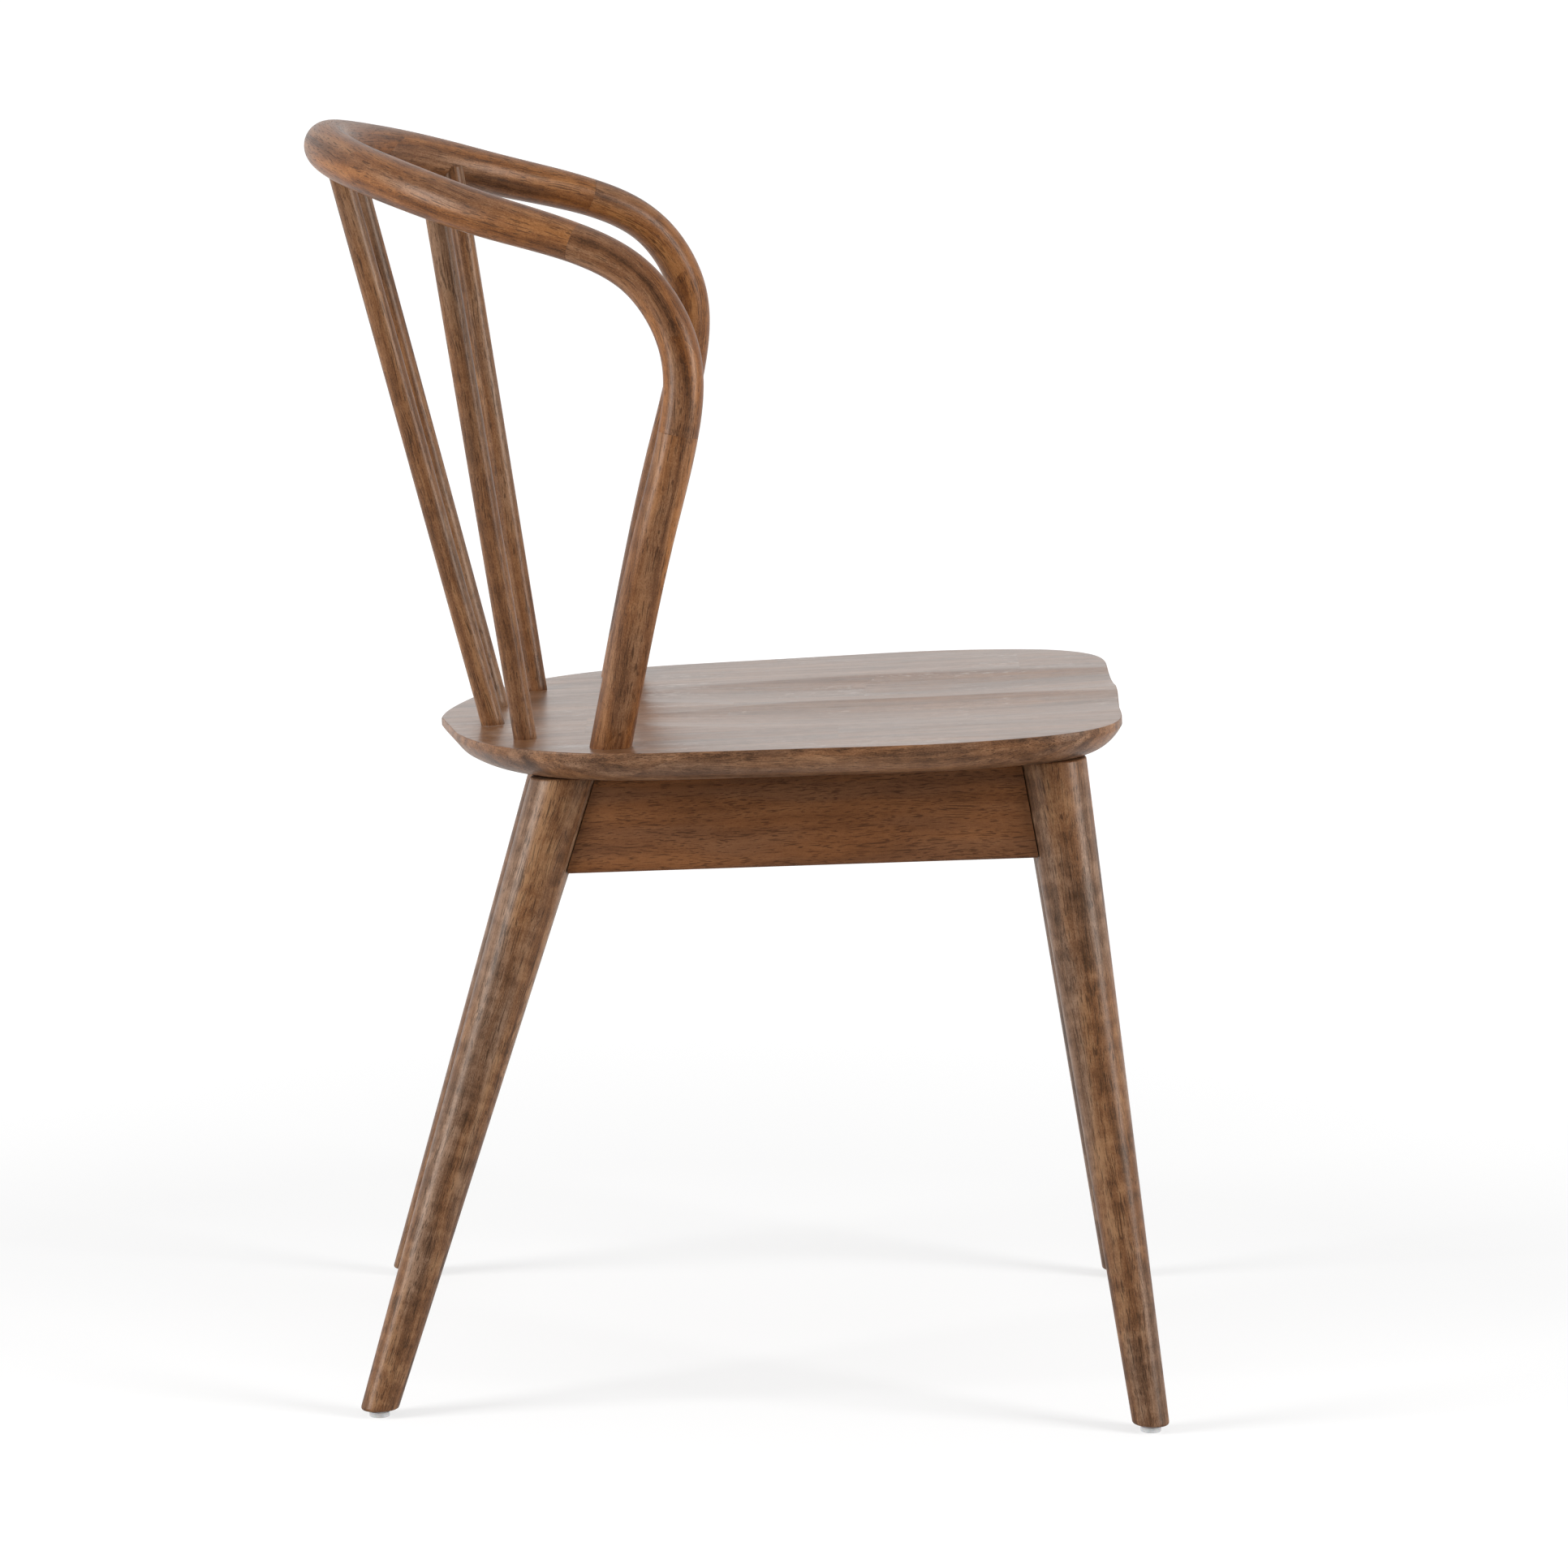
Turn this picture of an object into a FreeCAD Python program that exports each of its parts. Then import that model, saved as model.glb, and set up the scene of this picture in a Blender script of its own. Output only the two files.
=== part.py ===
import FreeCAD, Part
import math
import os

# Hoop-back dining chair in solid hardwood, sizes in millimetres.
# The chair faces -Y, +X is the sitter's left and +Z is up.
# The origin is on the floor, under the middle of the chair's bounding box.

# Seat panel: its top plane passes through (0, 0, SEAT_HEIGHT) and rises to the front.
SEAT_HEIGHT = 433.8
SEAT_TILT = 3.2
SEAT_THICKNESS = 21.5
SEAT_EDGE_BAND = 5.0
SEAT_BEVEL_WIDTH = 26.0
SEAT_BEVEL_BULGE = 4.0
# Left half of the outline, in the seat's own plane, from the middle of the back to the front.
SEAT_OUTLINE = [
    (0.0, 193.5),
    (69.5, 182.0),
    (131.0, 157.0),
    (172.5, 119.0),
    (194.0, 76.0),
    (202.5, 25.0),
    (210.0, -60.0),
    (214.0, -140.0),
    (206.5, -182.5),
    (192.0, -218.0),
    (160.0, -244.0),
    (100.0, -251.0),
    (0.0, -253.0),
]

# Two shallow hollows scooped in the seat, one each side of a low middle ridge.
SCOOP_CENTRE_X = 54.0
SCOOP_DEEPEST_Y = -120.0
SCOOP_HALF_WIDTH = 57.0
SCOOP_HALF_LENGTH = 190.0
SCOOP_DEPTH = 4.5

# Round tapered legs: distance between the centres of each pair, and their place from front to
# back, for the feet on the floor and for the tops on the seat's underside.
FRONT_FEET_APART = 454.0
FRONT_FOOT_Y = -272.3
FRONT_TOPS_APART = 300.0
FRONT_TOP_Y = -204.5
REAR_FEET_APART = 416.0
REAR_FOOT_Y = 222.2
REAR_TOPS_APART = 260.0
REAR_TOP_Y = 108.8
LEG_TOP_DIAMETER = 42.8
LEG_FOOT_DIAMETER = 23.4
LEG_TOP_BEVEL = 1.5
LEG_FOOT_BEVEL = 1.2

# Aprons under the seat, leaning with the legs, with tenons let into them.
APRON_HEIGHT = 61.7
APRON_THICKNESS = 20.0
APRON_FACE_OFFSET = 9.3
APRON_EDGE_BEVEL = 1.5
APRON_JOINT_GAP = 0.9
TENON_THICKNESS = 8.0
TENON_SHOULDER = 9.0
TENON_STOP = 7.0

# Corner blocks across the four inside corners, each with a screw up into the seat.
BLOCK_THICKNESS = 25.0
BLOCK_NEAR_REACH = 28.0
BLOCK_FAR_REACH = 70.0
SCREW_DIAMETER = 5.0
SCREW_HEAD_DIAMETER = 9.5
SCREW_HEAD_HEIGHT = 2.6
SCREW_BITE = 11.0

# Hoop: centre points of its left half, from the seat up, back and round to the middle of the
# crest, each with the diameter of the rod there. The first point is where the post meets the
# seat. The pieces are joined at the last point of the post's list and of the arm's.
HOOP_FOOT = (162.0, 78.0)
HOOP_FOOT_DIAMETER = 26.8
POST_POINTS = [
    (195.0, 65.0, 501.5, 26.4),
    (212.0, 49.0, 578.0, 26.1),
    (214.5, 36.0, 636.0, 25.8),
]
ARM_POINTS = [
    (211.0, 34.5, 684.0, 25.5),
    (205.0, 46.0, 713.0, 25.1),
    (197.5, 64.5, 734.5, 24.8),
    (185.0, 103.0, 753.5, 25.4),
]
CREST_POINTS = [
    (165.0, 156.5, 767.5, 28.0),
    (143.0, 194.0, 778.0, 29.4),
    (117.0, 223.0, 786.5, 29.9),
    (72.0, 253.0, 795.0, 30.3),
    (0.0, 269.0, 800.5, 30.4),
]
POST_TENON_DIAMETER = 18.0
POST_TENON_LENGTH = 14.0
HOOP_DOWEL_DIAMETER = 10.0
HOOP_DOWEL_LENGTH = 36.0

# Round spindles, from the seat's top plane up into the hoop.
SPINDLE_DIAMETER = 15.0
SPINDLE_SOCKET_DEPTH = 15.0
INNER_SPINDLE_FOOT = (41.0, 158.0)
INNER_SPINDLE_HEAD = (59.0, 260.5, 796.0)
OUTER_SPINDLE_FOOT = (110.0, 134.5)
OUTER_SPINDLE_HEAD = (132.5, 194.0, 779.0)

# Stepped nylon glides, each nailed up into its leg.
GLIDE_HEIGHT = 5.0
GLIDE_DIAMETER = 13.2
GLIDE_COLLAR_DIAMETER = 11.6
GLIDE_COLLAR_HEIGHT = 1.8
GLIDE_EDGE_RADIUS = 0.6
NAIL_DIAMETER = 2.4
NAIL_HEAD_DIAMETER = 5.4
NAIL_HEAD_HEIGHT = 1.2
NAIL_RECESS = 0.4
NAIL_BITE = 14.0

# Gap left round a glued or driven fit, and at the end of a blind hole.
FIT_CLEARANCE = 0.15
END_CLEARANCE = 0.4

# Room that a cutting shape runs past what it cuts.
OVERRUN = 12.0
REACH = 900.0

Vector = FreeCAD.Vector
UP = Vector(0, 0, 1)
SEAT_FRAME = FreeCAD.Placement(
    Vector(0, 0, SEAT_HEIGHT),
    FreeCAD.Rotation(Vector(1, 0, 0), -SEAT_TILT),
)


def on_seat(x, y, z=0.0):
    """Point given in the seat's own frame: z is 0 on the top plane and negative below it."""
    return SEAT_FRAME.multVec(Vector(x, y, z))


def slab_in_seat_frame(low, high):
    """Wide slab between two levels of the seat's own frame."""
    slab = Part.makeBox(2 * REACH, 2 * REACH, high - low, Vector(-REACH, -REACH, low))
    slab.Placement = SEAT_FRAME
    return slab


def rod(start, end, radius):
    """Straight round rod between two points."""
    along = end - start
    return Part.makeCylinder(radius, along.Length, start, along)


def mirrored(shape):
    """The same shape on the other side of the chair."""
    return shape.mirror(Vector(0, 0, 0), Vector(1, 0, 0))


def save(name, shape):
    """Write one piece to its own file."""
    shape.exportStep("parts/" + name + ".step")


def save_pair(name, left_shape):
    """Write a piece and its mirror image."""
    save(name + "_left", left_shape)
    save(name + "_right", mirrored(left_shape))


def outline_points(inset):
    """Points of the whole seat outline, moved inwards square to the outline."""
    left = [Vector(x, y, 0) for x, y in SEAT_OUTLINE]
    right = [Vector(-point.x, point.y, 0) for point in left[-2:0:-1]]
    whole = left + right
    curve = Part.BSplineCurve()
    curve.interpolate(whole, PeriodicFlag=True)
    moved = []
    for point in whole:
        tangent = curve.tangent(curve.parameter(point))[0]
        inwards = tangent.cross(UP)
        moved.append(point + inwards * inset)
    return moved


def outline_wire(inset, drop):
    """Closed seat outline at a depth below the top plane."""
    curve = Part.BSplineCurve()
    points = [point - UP * drop for point in outline_points(inset)]
    curve.interpolate(points, PeriodicFlag=True)
    return Part.Wire([curve.toShape()])


def seat_blank():
    """Panel with an upright band at the top of its edge and a wide rounded bevel below it."""
    band_face = Part.Face(outline_wire(0, 0))
    band = band_face.extrude(Vector(0, 0, -SEAT_EDGE_BAND))
    bevel_drop = SEAT_THICKNESS - SEAT_EDGE_BAND
    slope = math.hypot(SEAT_BEVEL_WIDTH, bevel_drop)
    rings = []
    for step in range(5):
        share = step / 4
        bulge = SEAT_BEVEL_BULGE * 4 * share * (1 - share)
        inset = SEAT_BEVEL_WIDTH * share - bulge * bevel_drop / slope
        drop = SEAT_EDGE_BAND + bevel_drop * share + bulge * SEAT_BEVEL_WIDTH / slope
        rings.append(outline_wire(inset, drop))
    bevel = Part.makeLoft(rings, True, False)
    return band.fuse(bevel).removeSplitter()


def scoop(centre_x):
    """Cutter for one hollow: a shallow arc across the seat, swung along a long arc down its length."""
    rise = SCOOP_DEPTH / 2
    arc_radius = (SCOOP_HALF_WIDTH ** 2 + SCOOP_DEPTH ** 2) / (2 * SCOOP_DEPTH)
    swing_radius = (SCOOP_HALF_LENGTH ** 2 + SCOOP_DEPTH ** 2) / (2 * SCOOP_DEPTH)
    half_chord = math.sqrt(arc_radius ** 2 - (arc_radius - SCOOP_DEPTH - rise) ** 2)
    left_end = Vector(centre_x - half_chord, SCOOP_DEEPEST_Y, rise)
    right_end = Vector(centre_x + half_chord, SCOOP_DEEPEST_Y, rise)
    bottom = Vector(centre_x, SCOOP_DEEPEST_Y, -SCOOP_DEPTH)
    arc = Part.Arc(left_end, bottom, right_end).toShape()
    lid = Part.makeLine(right_end, left_end)
    profile = Part.Face(Part.Wire([arc, lid]))
    hinge = Vector(0, SCOOP_DEEPEST_Y, swing_radius - SCOOP_DEPTH)
    half_swing = math.degrees(1.2 * SCOOP_HALF_LENGTH / swing_radius)
    profile.rotate(hinge, Vector(1, 0, 0), -half_swing)
    return profile.revolve(hinge, Vector(1, 0, 0), 2 * half_swing)


def leg_places(feet_apart, foot_y, tops_apart, top_y):
    """Plan places of a left leg's foot and top, or of a right leg's when both widths are negative."""
    return (feet_apart / 2, foot_y), (tops_apart / 2, top_y)


def leg_axis(foot, top):
    """Centre of a leg's foot above its glide, and centre of its top on the seat's underside."""
    foot_centre = Vector(foot[0], foot[1], GLIDE_HEIGHT)
    top_centre = on_seat(top[0], top[1], -SEAT_THICKNESS)
    return foot_centre, top_centre


def leg_cone(foot, top, extra_radius=0.0):
    """Tapered round of a leg, run past both of its ends."""
    foot_centre, top_centre = leg_axis(foot, top)
    along = top_centre - foot_centre
    taper = (LEG_TOP_DIAMETER - LEG_FOOT_DIAMETER) / 2 / along.Length
    direction = Vector(along).normalize()
    start = foot_centre - direction * OVERRUN
    foot_radius = LEG_FOOT_DIAMETER / 2 - taper * OVERRUN + extra_radius
    top_radius = LEG_TOP_DIAMETER / 2 + taper * OVERRUN + extra_radius
    return Part.makeCone(foot_radius, top_radius, along.Length + 2 * OVERRUN, start, direction)


def leg_body(foot, top):
    """Leg cut level over its glide and to the slope of the seat's underside, both arrises eased."""
    above_glide = Part.makeBox(
        2 * REACH, 2 * REACH, REACH, Vector(-REACH, -REACH, GLIDE_HEIGHT))
    under_seat = slab_in_seat_frame(-REACH, -SEAT_THICKNESS)
    leg = leg_cone(foot, top).common(above_glide).common(under_seat)
    rims = [edge for edge in leg.Edges if edge.isClosed()]
    rims.sort(key=lambda edge: edge.CenterOfMass.z)
    leg = leg.makeChamfer(LEG_FOOT_BEVEL, [rims[0]])
    rims = [edge for edge in leg.Edges if edge.isClosed()]
    rims.sort(key=lambda edge: edge.CenterOfMass.z)
    return leg.makeChamfer(LEG_TOP_BEVEL, [rims[-1]])


def apron_frame(start_leg, end_leg, outwards):
    """Origin and axes of an apron that spans two legs: along, up with the legs, and outwards."""
    start_foot, start_top = leg_axis(*start_leg)
    end_foot, end_top = leg_axis(*end_leg)
    along = (end_top - start_top).normalize()
    lean = (start_top - start_foot).normalize() + (end_top - end_foot).normalize()
    face = along.cross(lean).normalize()
    if face.dot(outwards) < 0:
        face = face * -1
    rise = face.cross(along).normalize()
    if rise.z < 0:
        rise = rise * -1
    return start_top, (end_top - start_top).Length, along, rise, face


def board(frame, inset, near_face, far_face, low, high):
    """Flat board in an apron's frame: ends inset along it, faces measured outwards."""
    origin, length, along, rise, face = frame
    corners = [
        origin + along * inset + face * far_face + rise * low,
        origin + along * inset + face * near_face + rise * low,
        origin + along * inset + face * near_face + rise * high,
        origin + along * inset + face * far_face + rise * high,
    ]
    end_face = Part.Face(Part.makePolygon(corners + corners[:1]))
    return end_face.extrude(along * (length - 2 * inset))


def apron(start_leg, end_leg, outwards):
    """Apron coped to both legs, its lower edges eased, with a tenon at each end."""
    frame = apron_frame(start_leg, end_leg, outwards)
    inner_face = APRON_FACE_OFFSET - APRON_THICKNESS
    tall = board(frame, 0, inner_face, APRON_FACE_OFFSET, -2 * APRON_HEIGHT, APRON_HEIGHT)
    level = slab_in_seat_frame(-SEAT_THICKNESS - APRON_HEIGHT, -SEAT_THICKNESS)
    body = tall.common(level)
    long_edges = [edge for edge in body.Edges if edge.Length > 4 * APRON_THICKNESS]
    long_edges.sort(key=lambda edge: edge.CenterOfMass.z)
    body = body.makeChamfer(APRON_EDGE_BEVEL, long_edges[:2])
    for foot, top in (start_leg, end_leg):
        body = body.cut(leg_cone(foot, top, APRON_JOINT_GAP))
    body = max(body.Solids, key=lambda solid: solid.Volume)
    return body.fuse(apron_tenons(frame, 0.0)).removeSplitter()


def apron_tenons(frame, slack):
    """Both tenons of an apron in one board, or their mortises when slack is given."""
    middle = APRON_FACE_OFFSET - APRON_THICKNESS / 2
    thin = TENON_THICKNESS / 2 + slack
    high = -TENON_SHOULDER + slack
    low = TENON_SHOULDER - APRON_HEIGHT - slack
    inset = TENON_STOP - (END_CLEARANCE if slack else 0.0)
    return board(frame, inset, middle - thin, middle + thin, low, high)


def corner_block(leg, side_apron, end_apron):
    """Block across an inside corner, fitted between the two aprons that meet there."""
    top = leg[1]
    towards_middle = -1 if top[1] > 0 else 1
    inner = APRON_THICKNESS - APRON_FACE_OFFSET
    corner_x = top[0] - inner
    corner_y = top[1] + towards_middle * inner
    into = APRON_THICKNESS / 2
    plan = [
        (corner_x + into, corner_y + towards_middle * BLOCK_NEAR_REACH),
        (corner_x + into, corner_y + towards_middle * BLOCK_FAR_REACH),
        (corner_x - BLOCK_FAR_REACH, corner_y - towards_middle * into),
        (corner_x - BLOCK_NEAR_REACH, corner_y - towards_middle * into),
    ]
    corners = [on_seat(x, y, -SEAT_THICKNESS) for x, y in plan]
    face = Part.Face(Part.makePolygon(corners + corners[:1]))
    down = on_seat(0, 0, -BLOCK_THICKNESS) - on_seat(0, 0)
    block = face.extrude(down).cut(side_apron).cut(end_apron)
    return max(block.Solids, key=lambda solid: solid.Volume)


def seat_screw(block):
    """Round-headed screw from under a corner block up into the seat, and the hole it needs."""
    middle = block.CenterOfMass
    up = (on_seat(0, 0, 1) - on_seat(0, 0)).normalize()
    head_seat = middle - up * (BLOCK_THICKNESS / 2)
    tip = head_seat + up * (BLOCK_THICKNESS + SCREW_BITE)
    head_radius = SCREW_HEAD_DIAMETER / 2
    head = Part.makeCone(head_radius, 0.6 * head_radius, SCREW_HEAD_HEIGHT, head_seat, up * -1)
    screw = rod(head_seat, tip, SCREW_DIAMETER / 2).fuse(head).removeSplitter()
    hole_end = tip + up * END_CLEARANCE
    hole = rod(head_seat - up * OVERRUN, hole_end, SCREW_DIAMETER / 2 + FIT_CLEARANCE)
    return screw, hole


def spindle(foot, head, slack=0.0):
    """Straight spindle from its socket in the seat to its socket in the hoop."""
    seat_point = on_seat(foot[0], foot[1])
    hoop_point = Vector(*head)
    direction = (hoop_point - seat_point).normalize()
    end_gap = END_CLEARANCE if slack else 0.0
    start = seat_point - direction * (SPINDLE_SOCKET_DEPTH + end_gap)
    end = hoop_point + direction * end_gap
    return rod(start, end, SPINDLE_DIAMETER / 2 + slack)


def hoop_curve():
    """Centre line of the hoop from the left foot over the crest to the right foot."""
    rows = POST_POINTS + ARM_POINTS + CREST_POINTS
    left = [on_seat(*HOOP_FOOT)] + [Vector(x, y, z) for x, y, z, diameter in rows]
    right = [Vector(-point.x, point.y, point.z) for point in left[-2::-1]]
    curve = Part.BSplineCurve()
    curve.interpolate(left + right)
    parameters = [curve.parameter(point) for point in left]
    radii = [HOOP_FOOT_DIAMETER / 2] + [row[3] / 2 for row in rows]
    return curve, parameters, radii


def radius_at(parameter, parameters, radii):
    """Rod radius part of the way between two hoop points."""
    folded = min(parameter, 2 * parameters[-1] - parameter)
    for low in range(len(parameters) - 1):
        if folded <= parameters[low + 1]:
            break
    span = parameters[low + 1] - parameters[low]
    share = (folded - parameters[low]) / span
    return radii[low] + (radii[low + 1] - radii[low]) * share


def hoop_sections(curve, parameters, radii, start, end, count):
    """Circles square to the hoop between two parameters, kept from twisting about its line."""
    sections = []
    steady = Vector(0, -1, 0)
    for step in range(count):
        parameter = start + (end - start) * step / (count - 1)
        centre = curve.value(parameter)
        tangent = curve.tangent(parameter)[0]
        steady = (steady - tangent * steady.dot(tangent)).normalize()
        turn = FreeCAD.Rotation(steady, tangent.cross(steady), tangent, "ZXY")
        circle = Part.makeCircle(radius_at(parameter, parameters, radii))
        circle.Placement = FreeCAD.Placement(centre, turn)
        sections.append(Part.Wire([circle]))
    return sections


def hoop_post(hoop, joint):
    """Post from the seat to the bend, cut to the seat's slope, with a round tenon below."""
    curve, parameters, radii = hoop
    foot = curve.value(parameters[0])
    tangent = curve.tangent(parameters[0])[0]
    sections = hoop_sections(curve, parameters, radii, parameters[0], joint, 6)
    post = Part.makeLoft(sections, True, False)
    stub = rod(foot - tangent * OVERRUN, foot, radii[0])
    post = post.fuse(stub).common(slab_in_seat_frame(0, REACH))
    tenon = rod(foot - tangent * POST_TENON_LENGTH, foot + tangent * OVERRUN, POST_TENON_DIAMETER / 2)
    return post.fuse(tenon).removeSplitter()


def post_socket(hoop):
    """Blind hole in the seat for a post's tenon."""
    curve, parameters, radii = hoop
    foot = curve.value(parameters[0])
    tangent = curve.tangent(parameters[0])[0]
    bottom = foot - tangent * (POST_TENON_LENGTH + END_CLEARANCE)
    return rod(bottom, foot + tangent * OVERRUN, POST_TENON_DIAMETER / 2 + FIT_CLEARANCE)


def hoop_dowel(hoop, parameter, slack=0.0):
    """Dowel across a joint of the hoop, or its hole when slack is given."""
    curve = hoop[0]
    centre = curve.value(parameter)
    tangent = curve.tangent(parameter)[0]
    half = HOOP_DOWEL_LENGTH / 2 + (END_CLEARANCE if slack else 0.0)
    return rod(centre - tangent * half, centre + tangent * half, HOOP_DOWEL_DIAMETER / 2 + slack)


def glide(foot):
    """Stepped nylon glide with a recess for its nail head."""
    outer = GLIDE_DIAMETER / 2
    collar = GLIDE_COLLAR_DIAMETER / 2
    step = GLIDE_HEIGHT - GLIDE_COLLAR_HEIGHT
    floor_centre = Vector(foot[0], foot[1], 0)
    disc = Part.makeCylinder(outer, step, floor_centre)
    rims = [edge for edge in disc.Edges if edge.isClosed()]
    rims.sort(key=lambda edge: edge.CenterOfMass.z)
    disc = disc.makeFillet(GLIDE_EDGE_RADIUS, [rims[0]])
    collar_disc = Part.makeCylinder(collar, GLIDE_COLLAR_HEIGHT, floor_centre + UP * step)
    recess_depth = NAIL_RECESS + NAIL_HEAD_HEIGHT
    recess = Part.makeCylinder(NAIL_HEAD_DIAMETER / 2 + FIT_CLEARANCE, recess_depth, floor_centre)
    bore = Part.makeCylinder(NAIL_DIAMETER / 2 + FIT_CLEARANCE, GLIDE_HEIGHT, floor_centre)
    return disc.fuse(collar_disc).removeSplitter().cut(recess).cut(bore)


def glide_nail(foot, slack=0.0):
    """Flat-headed nail through a glide into the leg, or its pilot hole when slack is given."""
    head_base = Vector(foot[0], foot[1], NAIL_RECESS)
    end_gap = END_CLEARANCE if slack else 0.0
    length = GLIDE_HEIGHT - NAIL_RECESS + NAIL_BITE + end_gap
    shank = Part.makeCylinder(NAIL_DIAMETER / 2 + slack, length, head_base)
    if slack:
        return shank
    head = Part.makeCylinder(NAIL_HEAD_DIAMETER / 2, NAIL_HEAD_HEIGHT, head_base)
    return shank.fuse(head).removeSplitter()


def build_understructure():
    """Legs, aprons, corner blocks, screws, glides and nails. Returns the seat's screw holes."""
    front_leg = leg_places(FRONT_FEET_APART, FRONT_FOOT_Y, FRONT_TOPS_APART, FRONT_TOP_Y)
    rear_leg = leg_places(REAR_FEET_APART, REAR_FOOT_Y, REAR_TOPS_APART, REAR_TOP_Y)
    front_leg_right = leg_places(-FRONT_FEET_APART, FRONT_FOOT_Y, -FRONT_TOPS_APART, FRONT_TOP_Y)
    rear_leg_right = leg_places(-REAR_FEET_APART, REAR_FOOT_Y, -REAR_TOPS_APART, REAR_TOP_Y)
    spans = {
        "apron_left": (front_leg, rear_leg, Vector(1, 0, 0)),
        "apron_front": (front_leg_right, front_leg, Vector(0, -1, 0)),
        "apron_rear": (rear_leg_right, rear_leg, Vector(0, 1, 0)),
    }
    aprons = {name: apron(*span) for name, span in spans.items()}
    mortises = {
        name: apron_tenons(apron_frame(*span), FIT_CLEARANCE) for name, span in spans.items()}
    save_pair("apron", aprons["apron_left"])
    save("apron_front", aprons["apron_front"])
    save("apron_rear", aprons["apron_rear"])

    seat_holes = []
    for place, leg in (("front", front_leg), ("rear", rear_leg)):
        body = leg_body(*leg)
        body = body.cut(mortises["apron_left"]).cut(mortises["apron_" + place])
        body = body.cut(glide_nail(leg[0], FIT_CLEARANCE))
        save_pair("leg_" + place, body)
        block = corner_block(leg, aprons["apron_left"], aprons["apron_" + place])
        screw, hole = seat_screw(block)
        save_pair("corner_block_" + place, block.cut(hole))
        save_pair("seat_screw_" + place, screw)
        save_pair("glide_" + place, glide(leg[0]))
        save_pair("glide_nail_" + place, glide_nail(leg[0]))
        seat_holes.append(hole)
    return seat_holes


def build_back():
    """Hoop pieces, their dowels and the spindles. Returns the seat's sockets for them."""
    hoop = hoop_curve()
    curve, parameters, radii = hoop
    post_joint = parameters[len(POST_POINTS)]
    crest_joint = parameters[len(POST_POINTS + ARM_POINTS)]
    crest_middle = parameters[-1]
    inner = (INNER_SPINDLE_FOOT, INNER_SPINDLE_HEAD)
    outer = (OUTER_SPINDLE_FOOT, OUTER_SPINDLE_HEAD)

    post_dowel_hole = hoop_dowel(hoop, post_joint, FIT_CLEARANCE)
    crest_dowel_hole = hoop_dowel(hoop, crest_joint, FIT_CLEARANCE)
    inner_hole = spindle(*inner, FIT_CLEARANCE)
    outer_hole = spindle(*outer, FIT_CLEARANCE)

    save_pair("hoop_post", hoop_post(hoop, post_joint).cut(post_dowel_hole))

    arm_sections = hoop_sections(curve, parameters, radii, post_joint, crest_joint, 9)
    arm = Part.makeLoft(arm_sections, True, False)
    save_pair("hoop_arm", arm.cut(post_dowel_hole).cut(crest_dowel_hole))

    other_joint = 2 * crest_middle - crest_joint
    crest_sections = hoop_sections(curve, parameters, radii, crest_joint, other_joint, 21)
    crest = Part.makeLoft(crest_sections, True, False)
    for hole in (crest_dowel_hole, inner_hole, outer_hole):
        crest = crest.cut(hole).cut(mirrored(hole))
    save("hoop_crest", crest)

    save_pair("hoop_dowel_post", hoop_dowel(hoop, post_joint))
    save_pair("hoop_dowel_crest", hoop_dowel(hoop, crest_joint))
    save_pair("spindle_inner", spindle(*inner))
    save_pair("spindle_outer", spindle(*outer))
    return [post_socket(hoop), inner_hole, outer_hole]


def build_seat(left_holes):
    """Seat panel with its hollows, and holes for what plugs or screws into it."""
    panel = seat_blank()
    panel = panel.cut(scoop(SCOOP_CENTRE_X)).cut(scoop(-SCOOP_CENTRE_X))
    panel.Placement = SEAT_FRAME
    for hole in left_holes:
        panel = panel.cut(hole).cut(mirrored(hole))
    save("seat", panel)


os.makedirs("parts", exist_ok=True)
screw_holes = build_understructure()
socket_holes = build_back()
build_seat(screw_holes + socket_holes)
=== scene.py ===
import math

import bpy
import numpy as np
from mathutils import Matrix, Vector


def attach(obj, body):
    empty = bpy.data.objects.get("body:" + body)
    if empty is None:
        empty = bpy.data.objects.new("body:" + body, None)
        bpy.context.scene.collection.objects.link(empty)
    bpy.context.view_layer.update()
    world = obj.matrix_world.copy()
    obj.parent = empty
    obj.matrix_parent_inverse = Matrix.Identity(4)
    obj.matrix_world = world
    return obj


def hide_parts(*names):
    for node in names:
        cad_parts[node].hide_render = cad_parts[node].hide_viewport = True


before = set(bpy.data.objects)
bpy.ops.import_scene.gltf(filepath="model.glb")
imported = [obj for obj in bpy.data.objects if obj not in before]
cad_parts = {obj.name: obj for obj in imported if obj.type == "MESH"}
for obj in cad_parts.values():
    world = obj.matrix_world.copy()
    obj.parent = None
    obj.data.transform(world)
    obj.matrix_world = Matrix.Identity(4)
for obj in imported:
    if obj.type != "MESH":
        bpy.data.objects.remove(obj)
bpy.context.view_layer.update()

# Seat
# A panel of solid boards glued side by side, grain running front to back, with two shallow
# hollows scooped in the top and a wide rounded bevel worked under the edge.
# It is stained a walnut tone and sealed with a satin lacquer that goes pale at a low angle.

SEAT_HEIGHT = 0.4338
SEAT_TILT = math.radians(3.2)
SEAT_THICKNESS = 0.0215
SEAT_BAND = 0.005
SEAT_BEVEL_WIDTH = 0.026
SEAT_BEVEL_BULGE = 0.004
SEAT_ARRIS = 0.0009
SEAT_OUTLINE = [
    (0.0, 0.1935),
    (0.0695, 0.1820),
    (0.1310, 0.1570),
    (0.1725, 0.1190),
    (0.1940, 0.0760),
    (0.2025, 0.0250),
    (0.2100, -0.0600),
    (0.2140, -0.1400),
    (0.2065, -0.1825),
    (0.1920, -0.2180),
    (0.1600, -0.2440),
    (0.1000, -0.2510),
    (0.0, -0.2530),
]
SCOOP_CENTRE_X = 0.054
SCOOP_CENTRE_Y = -0.120
SCOOP_HALF_WIDTH = 0.057
SCOOP_HALF_LENGTH = 0.190
SCOOP_DEPTH = 0.0045
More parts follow.
